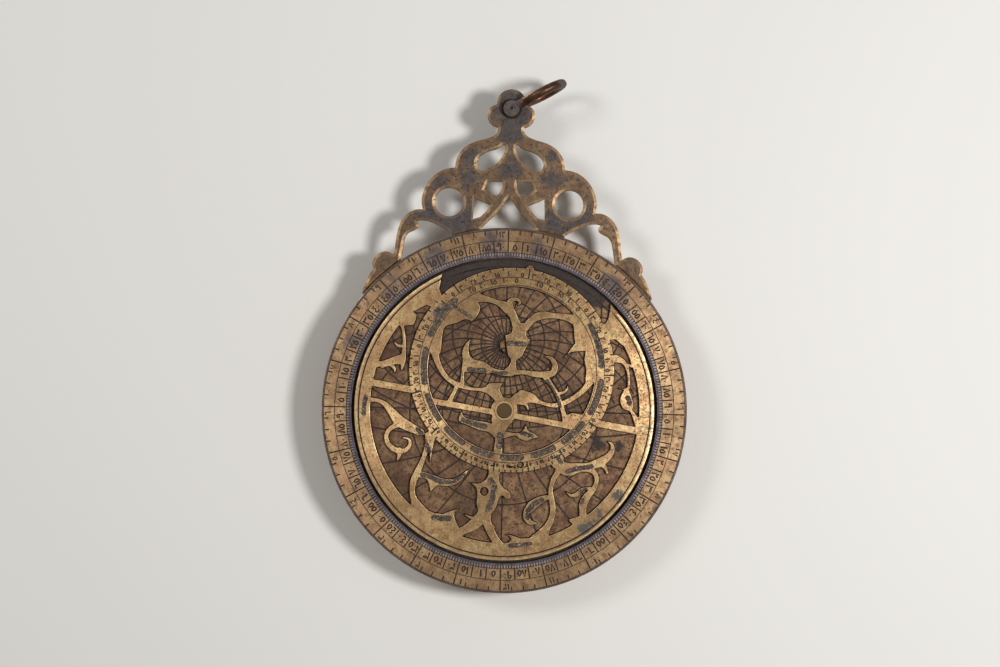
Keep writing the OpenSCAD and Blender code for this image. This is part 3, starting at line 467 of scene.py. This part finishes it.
# Rete: the most rubbed piece, paler and more yellow than the rest
RETE = aged_brass("rubbed_rete_brass", "#d6b682", "#c1946d", "#92724f", "#453125", "#4f5254",
                  0.65, roughness=0.43, speck_from=0.54, turned_finish=0.65,
                  crusts=((-26.9, 43.6, 2.8), (-27.8, 38.8, 2.4), (47.5, -34.3, 3.2),
                          (40.1, -42.5, 2.4), (33.5, -48.4, 3.2), (36.6, -45.2, 1.6),
                          (21.4, 46, 2.4)))
# Filed slopes take the rubbing first, so they stay bright
EDGE = aged_brass("filed_edge_brass", "#e2c898", "#d3ad88", "#b3926a", "#5a4331", "#7a6c58",
                  0.7, roughness=0.48)
# Sawn walls of the openings and the throne, and thin outlines round the rete's openings: rough,
# never polished, and painted near-black as painted shade
WALL_SHADE = aged_brass("painted_shade_wall_brass", "#2e211a", "#301f18", "#1c140f", "#0f0a08", "#231c19",
                  0.6, roughness=0.65)
# Plates: brown, because the air hardly reaches them, and black under the open top
PLATE = aged_brass("toned_plate_brass", "#937455", "#7c5845", "#503c2f", "#1e140f", "#302725",
                   0.62, speck_from=0.55,
                   crusts=((-30, 51, 7), (-22, 56, 7), (-12, 59.5, 8), (0, 61, 8),
                           (12, 59.5, 8), (22, 56, 7), (31, 51, 7), (37, 46, 6),
                           (38.8, -12.3, 3.2), (47.4, -13.2, 2.2)))
# Throne: worn tan, with a grey crust on its boss, joints and feet
THRONE = aged_brass("corroded_throne_brass", "#866e55", "#7d5f4a", "#594a3d", "#231b18",
                    "#4e4746", 0.57, 7 * MM, 0.55, speck_from=0.54, creep=0.18,
                    crusts=((0, 125, 9), (0, 114.7, 5), (-17.4, 95.2, 4.4), (16.4, 96, 4.4),
                            (0, 99.8, 4.6), (-22, 77.6, 9), (19, 77.6, 9), (30, 79, 6),
                            (-34, 80, 6), (-28.6, 92.9, 3.4), (-16.6, 103.7, 3),
                            (17.4, 105.3, 3)))
# Slopes of the throne: tan, dulled by handling
SLOPE = aged_brass("worn_slope_brass", "#b89a70", "#a8835f", "#7a604a", "#33261e", "#645b56",
                   0.59, roughness=0.48, creep=0.16,
                   crusts=((0, 126, 10), (-17.4, 95.2, 4.4), (16.4, 96, 4.4), (0, 99.8, 4.6),
                           (-22, 77.6, 8), (17, 77.6, 7)))
# Back: toned evenly by the hand that held it
BACK = aged_brass("toned_back_brass", "#b39468", "#ab8560", "#86694a", "#463527", "#625a54",
                  0.66)
# Small turned and filed fittings
SMALL = aged_brass("filed_fitting_brass", "#bd9f70", "#b58f68", "#94764c", "#4f3c29",
                   "#655f53", 0.66, roughness=0.45)
# Shackle: forged from red brass with a brown skin, grey at its eyes and its bend
SHACKLE = aged_brass("forged_red_brass", "#775540", "#6b412f", "#402c22", "#1f1511", "#584f4d",
                     0.62, 5 * MM, 0.38, crusts=((0, 124, 4.6), (22, 135.5, 4)))
# Pin: a grey bloom over its hammered head
BOSS = aged_brass("hammered_pin_brass", "#655b56", "#5c4e45", "#463e36", "#231d1a", "#59514e",
                  0.45, 6 * MM)
# Washers: near-black brown, painted shade under the shackle's eyes
WASHER_SHADE = aged_brass("shade_dark_washer_brass", "#3b2f2a", "#3a2b25", "#292019", "#15100d",
                  "#3d3634", 0.6, 6 * MM, 0.55)
# Axis tube: rubbed by every pin that passed through it
TUBE = aged_brass("worn_tube_brass", "#d8bd90", "#c9a67c", "#a5885c", "#4a3a2a", "#6f695c",
                  0.7, roughness=0.45)
# Degree band and outer bead: a purple grey crust
GREY = aged_brass("crusted_band_brass", "#736768", "#6b5a5c", "#4b4244", "#282122", "#585054",
                  0.42, 5 * MM, 0.55)
# Bars between the degree ticks, rubbed pale
BARS = aged_brass("rubbed_band_brass", "#a2958e", "#988679", "#7a6e6c", "#352d2e", "#6a6164",
                  0.58, 5 * MM)
# Dark fill of the engraved lines; the same dark brown is also painted on the bowl wall, the
# plate under the rete's rim and the axis bore as painted shade
FILL_AND_SHADE = caked_dirt("dark_wax_fill_and_painted_shade", "#1d1410", "#3a2b22", "#6d563f", share=0.72)
STAIN = caked_dirt("brown_label_crust", "#2e231d", "#5b4b3f", "#a68f72", 0.6 * MM, 0.61)


def finish(piece, body, slot, *materials):
    """Gives a piece its materials and the body it rides on; its slot is not used."""
    piece.data.materials.clear()
    for material in materials:
        piece.data.materials.append(material)
    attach(piece, body)


# Limb

def fill_grooves(piece, y, radii):
    """Packs dirt in the ring grooves of the face at y."""
    def in_groove(face):
        sunk = y + FLAT < face.center.y < y + GROOVE_DEEP + FLAT
        return sunk and any(abs(from_axis(face) - r) < GROOVE_HALF for r in radii)

    paint(piece, FILL_AND_SHADE, in_groove)


def ring_edge(r):
    """A stroke round a circle of the limb, on the corners that the CAD circle has."""
    return circle(r, steps=360)


def make_limb():
    """The limb, with its degrees numbered by fives and its hours by ones."""
    step, hour = 5, 360 / 24
    piece = copy_of("limb_ring", "limb_engraved")
    finish(piece, "mater", "limb_brass", LIMB, FILL_AND_SHADE, BARS, GREY)
    fill_grooves(piece, LIMB_Y, (FINE_R, LETTER_R, BEAD_R))
    paint(piece, BARS, lambda face: face.center.y < LIMB_Y + FLAT
          and from_axis(face) < FINE_R - 0.1 * MM)
    # The wall of the bowl gets the dark fill: painted shade, with dirt, in the deep gap round
    # the rete
    paint(piece, FILL_AND_SHADE, lambda face: is_wall(face) and from_axis(face) < BOWL_R + FLAT)
    # The edge of the limb is rounded over in two slopes, and the mouth of the bowl is eased
    engrave(piece, [ring_edge(LIMB_R)], 0.7 * MM, LIMB_Y, GREY, 0.3 * MM)
    engrave(piece, [ring_edge(LIMB_R)], 0.28 * MM, LIMB_Y, LIMB, 0.6 * MM)
    engrave(piece, [ring_edge(BOWL_R)], 0.9 * MM, LIMB_Y, GREY, 0.2 * MM)
    fine = [tick(BOWL_R + 0.6 * MM, FINE_R - 0.1 * MM, a) for a in range(360)]
    engrave(piece, fine, 0.3 * MM, LIMB_Y, GREY, 0.2 * MM)
    boxes = [tick(FINE_R + 0.2 * MM, LETTER_R - 0.2 * MM, a) for a in range(0, 360, step)]
    engrave(piece, boxes, 0.26 * MM, LIMB_Y, FILL_AND_SHADE)
    degrees = []
    for a in range(step, 360 + step, step):
        degrees += number((a - 1) % 90 + 1, 3.0 * MM, (FINE_R + LETTER_R) / 2, a - step / 2)
    engrave(piece, degrees, 0.35 * MM, LIMB_Y, FILL_AND_SHADE, 0.3 * MM)
    hours = []
    for i in range(24):
        hours.append(tick(LETTER_R + 0.2 * MM, BEAD_R - 0.2 * MM, hour * i))
        for quarter in (1, 2, 3):
            hours.append(tick(BEAD_R - 1.9 * MM, BEAD_R - 0.2 * MM, hour * (i + quarter / 4)))
        hours += number(i % 12 + 1, 2.5 * MM, BEAD_R - 1.8 * MM, hour * (i + 1) - 2.1)
    engrave(piece, hours, 0.28 * MM, LIMB_Y, FILL_AND_SHADE)
    smooth(piece)


# Plate of the sky for one latitude

def sky_point(altitude, azimuth):
    """Place on the plate of a point in the local sky, given in degrees."""
    a, az = math.radians(altitude), math.radians(azimuth)
    sin_dec = math.sin(LATITUDE) * math.sin(a) + math.cos(LATITUDE) * math.cos(a) * math.cos(az)
    dec = math.asin(max(-1, min(1, sin_dec)))
    east = -math.sin(az) * math.cos(a)
    south = math.sin(a) * math.cos(LATITUDE) - math.cos(a) * math.sin(LATITUDE) * math.cos(az)
    hour = math.atan2(east, south)
    rho = EQUATOR_R * math.tan(math.pi / 4 - dec / 2)
    return (rho * math.sin(hour), rho * math.cos(hour))


def hour_point(dec, share):
    """Place on the plate at a share of the night arc, for a declination in radians."""
    half_day = math.acos(-math.tan(LATITUDE) * math.tan(dec))
    hour = half_day + (2 * math.pi - 2 * half_day) * share
    rho = EQUATOR_R * math.tan(math.pi / 4 - dec / 2)
    return (rho * math.sin(hour), rho * math.cos(hour))


def in_map(point):
    """Whether a place lies inside the tropic of Capricorn, where the map ends."""
    return math.hypot(*point) < MAP_R


def make_top_plate():
    """The front plate: circles of height and direction above the horizon, hour lines below."""
    piece = copy_of("climate_plate_4", "latitude_plate")
    finish(piece, "mater", "plate_brass", PLATE, FILL_AND_SHADE)
    broad, broad_deep, narrow = 0.33 * MM, 0.25 * MM, 0.28 * MM
    heights = []
    for altitude in range(0, 90, 10):
        heights += clipped([sky_point(altitude, az) for az in range(0, 363, 3)], in_map)
    engrave(piece, heights, broad, PLATE_Y, FILL_AND_SHADE, broad_deep)
    azimuths = []
    for azimuth in range(10, 360, 10):
        if azimuth != 180:
            azimuths += clipped([sky_point(a, azimuth) for a in range(1, 86, 4)], in_map)
    engrave(piece, azimuths, narrow, PLATE_Y, FILL_AND_SHADE)
    engrave(piece, [circle(CAPRICORN_R), circle(EQUATOR_R), circle(CANCER_R)], 0.3 * MM,
            PLATE_Y, FILL_AND_SHADE)
    # A dark ring on the plate in the gap under the rim of the rete: painted shade, with dirt
    # packed there
    engrave(piece, [circle(RETE_R + 0.2 * MM, steps=360)], 0.38 * MM, PLATE_Y, FILL_AND_SHADE)
    # The cross of the meridian and the level line starts under the hub of the rete
    under_hub_r = 4.7 * MM
    cross = [tick(under_hub_r, MAP_R, a) for a in (0, 90, 180, 270)]
    engrave(piece, cross, broad, PLATE_Y, FILL_AND_SHADE, broad_deep)
    # The night's hours are lines, and the half hours between them are rows of dots
    decs = [OBLIQUITY * (1 - i / 8) for i in range(17)]
    dot_decs = [OBLIQUITY * (0.97 - i / 7) for i in range(14)]
    hours = [([hour_point(dec, k / 12) for dec in decs], False) for k in range(1, 12) if k != 6]
    for k in range(12):
        for dec in dot_decs:
            x, z = hour_point(dec, (k + 0.5) / 12)
            hours.append(([(x - 0.2 * MM, z), (x + 0.2 * MM, z)], False))
    engrave(piece, hours, broad, PLATE_Y, FILL_AND_SHADE, broad_deep)
    smooth(piece)


# Rete

def ecliptic_angle(longitude):
    """Direction of a longitude on the ecliptic ring, seen from the ring's centre."""
    lam = math.radians(longitude)
    ascension = math.atan2(math.sin(lam) * math.cos(OBLIQUITY), math.cos(lam))
    dec = math.asin(math.sin(OBLIQUITY) * math.sin(lam))
    rho = EQUATOR_R * math.tan(math.pi / 4 - dec / 2)
    x, z = -rho * math.cos(ascension), -rho * math.sin(ascension)
    return math.degrees(math.atan2(x, z - ECLIPTIC_UP))


# Crusted places on the star pointers: half the width of each one, and its line across the
# upright rete, in millimetres
CRUSTED = (
    (0.9, ((-30.6, 38.8), (-25.7, 37.6), (-19.8, 35.0))),
    (1.25, ((-4.6, 27.3), (-0.4, 27.9), (4.4, 28.5))),
    (1.5, ((-18.2, 13.9), (-14.7, 13.9), (-10.0, 14.7))),
    (0.95, ((-8.2, 14.7), (-5.6, 14.4), (-1.4, 15.6))),
    (0.95, ((14.5, 15.8), (16.9, 13.1), (20.4, 9.0), (22.5, 5.2))),
    (1.1, ((-56.8, -3.8), (-57.0, -8.0), (-56.4, -12.4))),
    (1.2, ((-34.2, -13.1), (-31.8, -15.6), (-29.1, -19.3), (-26.9, -23.0))),
    (1.25, ((-29.4, -32.0), (-25.7, -31.9), (-20.6, -33.3), (-16.0, -32.7), (-11.2, -28.4))),
    (1.35, ((-1.2, -28.4), (1.6, -31.0), (1.8, -35.7), (1.2, -38.9), (0.6, -42.4))),
    (1.35, ((-21.6, -48.5), (-17.4, -48.2), (-13.2, -47.3))),
    (1.25, ((22.6, -32.8), (18.8, -35.4), (16.7, -39.4), (17.8, -42.4))),
    (1.15, ((29.2, -20.4), (32.9, -18.3), (40.2, -15.8))),
    (1.0, ((24.4, -14.2), (27.4, -17.4))),
    (1.2, ((35.9, -27.8), (39.5, -25.4))),
    (1.0, ((38.4, -29.4), (37.8, -32.4))),
    (1.1, ((11.5, -54.3), (16.4, -53.2), (21.0, -51.6))),
    (1.2, ((48.4, 15.2), (49.6, 13.2), (50.4, 11.2))),
    (1.35, ((-17.0, -6.4), (-13.1, -7.3), (-5.6, -8.0))),
    (1.1, ((7.6, -7.5), (10.9, -7.9), (13.9, -8.3))),
    (1.7, ((-0.2, -9.0), (0.8, -12.6), (0.8, -16.0))),
)


def engrave_rete(piece, strokes, half, material, deep=None, crumble=0.0):
    """Engraves what was drawn on the upright rete."""
    at_rest = [(turned(points, RETE_TURN), closed) for points, closed in strokes]
    engrave(piece, at_rest, half, RETE_Y, material, deep, crumble)


def file_rete(piece):
    """Rubbed slopes, shade-painted walls and outlines round the openings, and a rounded bead on
    the rim.
    """
    # The sawn walls are painted near-black: painted shade
    paint(piece, WALL_SHADE, lambda face: is_wall(face) and face.material_index == 0)
    edges = outlines(piece, RETE_Y, (RIM_LINE_R,))
    engrave(piece, edges, 0.48 * MM, RETE_Y, EDGE, 0.22 * MM)
    # A steep narrow cut at the edge of each opening is painted near-black: a painted shadow
    # outline
    engrave(piece, edges, 0.36 * MM, RETE_Y, WALL_SHADE, 1.2 * MM)
    # The bead is rounded over in two slopes, and wax and dirt brim over the groove inside it
    bead, groove = [[([polar(r, a) for a in range(RIM_FROM, RIM_TO, 3)], False)]
                    for r in (RETE_R, RIM_LINE_R)]
    engrave(piece, bead, 1.1 * MM, RETE_Y, EDGE, 0.2 * MM)
    engrave(piece, bead, 0.5 * MM, RETE_Y, EDGE, 0.45 * MM)
    engrave(piece, groove, 0.3 * MM, RETE_Y, FILL_AND_SHADE, 0.24 * MM)


def mark_ecliptic(piece):
    """The scale of the ecliptic ring, in twelve parts of 30 degrees, numbered by fives."""
    centre = (0, ECLIPTIC_UP)
    rings = [circle(ECLIPTIC_R - 4.2 * MM, centre), circle(ECLIPTIC_IN_R + 0.8 * MM, centre)]
    engrave_rete(piece, rings, 0.15 * MM, FILL_AND_SHADE)
    # The inner band has a crust along ten of the parts, and numbers in the two at the top
    band_centre, band_r = (0.3 * MM, ECLIPTIC_UP + 0.6 * MM), ECLIPTIC_IN_R + 2.4 * MM
    crusts, marks = [], []
    for part in range(0, 360, 30):
        if part in (240, 270):
            for longitude in range(part + 5, part + 30, 5):
                marks += number(longitude - part, 2.4 * MM, band_r, ecliptic_angle(longitude),
                                band_centre)
        else:
            line = [polar(band_r, ecliptic_angle(longitude), band_centre)
                    for longitude in range(part + 3, part + 29, 2)]
            crusts.append((spaced(line, 0.9 * MM), False))
    engrave_rete(piece, crusts, 1.4 * MM, STAIN, 0.14 * MM, 0.2)
    for longitude in range(0, 360, 5):
        angle, after = ecliptic_angle(longitude), ecliptic_angle(longitude + 5)
        room = ECLIPTIC_R * math.radians(abs((after - angle + 180) % 360 - 180))
        long_mark = 4.4 * MM if longitude % 30 == 0 else 1.4 * MM
        marks.append(tick(ECLIPTIC_R - long_mark, ECLIPTIC_R - 0.1 * MM, angle, centre))
        marks += number(longitude % 30 + 5, min(2.1 * MM, 0.6 * room), ECLIPTIC_R - 2.8 * MM,
                        ecliptic_angle(longitude + 2.5), centre)
    engrave_rete(piece, marks, 0.28 * MM, FILL_AND_SHADE, 0.22 * MM)


def make_rete():
    """The rete, with its edges filed, its pointers crusted and its ecliptic ring marked."""
    piece = copy_of("rete", "rete_pierced")
    finish(piece, "rete", "rete_brass", RETE, FILL_AND_SHADE, EDGE, WALL_SHADE, STAIN)
    fill_grooves(piece, RETE_Y, (RIM_LINE_R,))
    file_rete(piece)
    for half, line in CRUSTED:
        stroke = (spaced([(x * MM, z * MM) for x, z in line], 0.8 * MM), False)
        engrave_rete(piece, [stroke], half * MM, STAIN, 0.12 * MM, 0.25)
    mark_ecliptic(piece)
    smooth(piece)


# Throne

def make_throne():
    """The throne, with wide filed slopes in front, narrow ones behind and sawn walls in painted
    shade.
    """
    piece = copy_of("throne", "throne_filed")
    finish(piece, "mater", "throne_brass", THRONE, SLOPE, WALL_SHADE)
    # Its sawn walls are painted near-black: painted shade
    paint(piece, WALL_SHADE, is_wall)
    front, back = outlines(piece, THRONE_Y), outlines(piece, THRONE_BACK_Y)
    engrave(piece, front, 1.15 * MM, THRONE_Y, SLOPE, 0.5 * MM)
    engrave(piece, back, 0.45 * MM, THRONE_BACK_Y, SLOPE, 0.3 * MM)
    smooth(piece)


# Back of the mater: generic scales for altitude, sines and shadows

def seen_from_behind(strokes):
    """Mirrors strokes, so that what they write reads from behind."""
    return [([(-x, z) for x, z in points], closed) for points, closed in strokes]


def make_back():
    """The back: heights on the edge, sines and arcs above, and a shadow square below."""
    piece = copy_of("back_plate", "back_engraved")
    finish(piece, "mater", "back_brass", BACK, FILL_AND_SHADE)
    out_r, tick_r, text_r = LIMB_R - 1.2 * MM, LIMB_R - 2.9 * MM, LIMB_R - 4.4 * MM
    fine, middling = 0.14 * MM, 0.16 * MM
    engrave(piece, [circle(LIMB_R)], 0.6 * MM, BACK_Y, BACK, 0.3 * MM)
    rings = [circle(r) for r in (out_r, tick_r, LIMB_R - 7.6 * MM, LIMB_R - 8.4 * MM)]
    rings.append(([polar(SINE_R, a) for a in range(-90, 92, 2)], False))
    engrave(piece, rings, 0.15 * MM, BACK_Y, FILL_AND_SHADE)
    marks = [tick(tick_r + 0.2 * MM, out_r - 0.2 * MM, a) for a in range(360)]
    for a in range(0, 360, 10):
        height = 90 - abs((a + 90) % 180 - 90)
        marks += number(height, 2 * MM, text_r, a + 2.6)
    engrave(piece, seen_from_behind(marks), middling, BACK_Y, FILL_AND_SHADE)
    lines = [tick(BARE_R, SINE_R, a) for a in (0, 90, 270)]
    lines.append(([(0, -BARE_R), (0, -SQUARE_HALF - 6 * MM)], False))
    engrave(piece, lines, 0.17 * MM, BACK_Y, FILL_AND_SHADE)
    # The sines are level lines, cut short where the hub of the alidade rubs
    sines = []
    for i in range(1, 12):
        h = SINE_R * i / 12
        start = 0.3 * MM if h > BARE_R else math.sqrt(BARE_R ** 2 - h ** 2)
        sines.append(([(start, h), (math.sqrt(SINE_R ** 2 - h ** 2) - 0.3 * MM, h)], False))
    engrave(piece, sines, fine, BACK_Y, FILL_AND_SHADE)
    arcs = [([polar(SINE_R * i / 6, a) for a in range(-88, 0, 2)], False) for i in range(2, 6)]
    engrave(piece, arcs, fine, BACK_Y, FILL_AND_SHADE)
    squares = [([(-side, -1.5 * MM), (-side, -side), (side, -side), (side, -1.5 * MM)], False)
               for side in (SQUARE_HALF, SQUARE_HALF + 3 * MM, SQUARE_HALF + 6 * MM)]
    engrave(piece, squares, middling, BACK_Y, FILL_AND_SHADE)
    near, far = SQUARE_HALF + 0.3 * MM, SQUARE_HALF + 2.7 * MM
    shadow = []
    for i in range(1, 12):
        at = SQUARE_HALF * i / 12
        for side in (-1, 1):
            shadow.append(([(side * at, -near), (side * at, -far)], False))
            shadow.append(([(side * near, -at), (side * far, -at)], False))
    engrave(piece, shadow, fine, BACK_Y, FILL_AND_SHADE)
    smooth(piece)


def make_rule():
    """The alidade's rule, with bright edges and a scale on each arm."""
    piece = copy_of("alidade_rule", "rule_engraved")
    finish(piece, "alidade", "rule_brass", SMALL, FILL_AND_SHADE, EDGE)
    engrave(piece, outlines(piece, RULE_BACK_Y), 0.3 * MM, RULE_BACK_Y, EDGE)
    lines = []
    for side in (-1, 1):
        lines.append(([(side * 12 * MM, 0), (side * 38 * MM, 0)], False))
        for i in range(14):
            x = side * (12.5 + 1.9 * i) * MM
            long_tick = 1.9 if i % 5 == 0 else 1.1
            lines.append(([(x, 0.5 * MM), (x, (0.5 + long_tick) * MM)], False))
    engrave(piece, lines, 0.14 * MM, RULE_BACK_Y, FILL_AND_SHADE)
    smooth(piece)


# Pieces that keep their CAD shape

def dress(node, body, slot, material, ease=0.0):
    """Gives a node a finish, with the dark fill and shade as a second material, and eased edges
    if asked.
    """
    piece = copy_of(node, node + "_dressed")
    finish(piece, body, slot, material, FILL_AND_SHADE)
    if ease:
        apply_modifier(piece, "BEVEL", width=ease, segments=2, limit_method="ANGLE",
                       angle_limit=math.radians(40))
    smooth(piece)
    if ease:
        apply_modifier(piece, "WEIGHTED_NORMAL", keep_sharp=True, weight=100)
    return piece


def make_pin():
    """The hammered pin, with the centre mark of its front end painted dark."""
    piece = dress("shackle_pin", "mater", "pin_metal", BOSS, 0.12 * MM)
    front = min(v.co.y for v in piece.data.vertices)
    mark_r, mark_deep = 0.66 * MM, 1 * MM

    def in_mark(face):
        sunk = front + 0.05 * MM < face.center.y < front + mark_deep
        beside = math.hypot(face.center.x, face.center.z - PIN_Z) < mark_r
        return sunk and beside and face.normal.y < 0.2

    paint(piece, FILL_AND_SHADE, in_mark)


def make_axis():
    """The hollow axis, with its bore painted near-black as painted shade."""
    piece = dress("hollow_axis", "mater", "axis_metal", TUBE)
    # The inner faces of the bore get the dark fill: painted shade
    paint(piece, FILL_AND_SHADE, lambda face: is_wall(face)
          and face.center.x * face.normal.x + face.center.z * face.normal.z < 0)


make_limb()
make_top_plate()
make_rete()
make_throne()
make_back()
make_rule()
make_pin()
make_axis()

for plate in ("climate_plate_1", "climate_plate_2", "climate_plate_3"):
    dress(plate, "mater", "plate_brass", PLATE, 0.08 * MM)
for rivets in ("limb_rivets", "throne_rivets", "plate_stud"):
    dress(rivets, "mater", "rivet_brass", SMALL)
dress("vane_rivets", "alidade", "rivet_brass", SMALL)
dress("scalloped_washer", "mater", "washer_brass", SMALL, 0.12 * MM)
dress("shackle", "shackle", "shackle_copper", SHACKLE)
dress("pin_washers", "mater", "dark_washer", WASHER_SHADE, 0.08 * MM)
dress("right_vane", "alidade", "vane_brass", SMALL, 0.25 * MM)
dress("left_vane", "alidade", "vane_brass", SMALL, 0.25 * MM)


# Stage: a pale board behind the astrolabe, almost touching its vanes

def painted_board():
    """Matt white paint in front. From behind, and for shadows, it lets all light through, so
    that the rear lamp lights the back and other views show it.
    """
    material, tree = empty_material("matt_painted_board")
    matt = add(tree, "ShaderNodeBsdfDiffuse", {"Color": srgb("#dcdad6")})
    clear = add(tree, "ShaderNodeBsdfTransparent")
    behind = add(tree, "ShaderNodeNewGeometry", output="Backfacing")
    shadow = add(tree, "ShaderNodeLightPath", output="Is Shadow Ray")
    through = add(tree, "ShaderNodeMath", {0: behind, 1: shadow}, operation="MAXIMUM")
    shader = add(tree, "ShaderNodeMixShader", {0: through, 1: matt, 2: clear})
    add(tree, "ShaderNodeOutputMaterial", {"Surface": shader}, output=None)
    return material


BOARD_GAP = 0.3 * MM
BOARD_SIDE = 8
bpy.ops.object.select_all(action="DESELECT")
bpy.ops.mesh.primitive_plane_add(size=BOARD_SIDE, location=(0, REAR_Y + BOARD_GAP, 0),
                                 rotation=(math.pi / 2, 0, 0))
floor = bpy.context.object
floor.name = "floor"
floor.data.materials.append(painted_board())

world = bpy.data.worlds.new("studio")
bpy.context.scene.world = world
world.use_nodes = True
sky = world.node_tree.nodes["Background"]
sky.inputs["Color"].default_value = srgb("#e6e4e0")
sky.inputs["Strength"].default_value = 0.33


def soft_light(name, place, size, power):
    """A round area lamp, aimed at the middle of the astrolabe."""
    lamp = bpy.data.lights.new(name, "AREA")
    lamp.shape = "DISK"
    lamp.size = size
    lamp.energy = power
    holder = bpy.data.objects.new(name, lamp)
    bpy.context.scene.collection.objects.link(holder)
    holder.location = place
    aim = Vector((0, 0, 30 * MM)) - Vector(place)
    holder.rotation_euler = aim.to_track_quat("-Z", "Y").to_euler()


soft_light("key", (0.52, -0.76, 0.06), 0.18, 6.4)
soft_light("fill", (-0.6, -0.76, 0.32), 0.3, 2.8)
soft_light("rear", (-0.62, 0.55, 0.66), 0.5, 7.5)

# Camera square to the disc, as in the photograph, with the width that it sees at the axis
VIEW_W = 413.6 * MM
VIEW_AT = (-2.5 * MM, 31.6 * MM)
VIEW_FAR = 0.8
ROLL = math.radians(1.38)
camera_data = bpy.data.cameras.new("camera")
camera_data.lens = camera_data.sensor_width * VIEW_FAR / VIEW_W
camera = bpy.data.objects.new("camera", camera_data)
bpy.context.scene.collection.objects.link(camera)
camera.location = (VIEW_AT[0], -VIEW_FAR, VIEW_AT[1])
camera.rotation_mode = "XYZ"
camera.rotation_euler = (math.pi / 2, 0, 0)
camera.rotation_euler.rotate_axis("Z", ROLL)
bpy.context.scene.camera = camera

bpy.context.scene.view_settings.view_transform = "Standard"
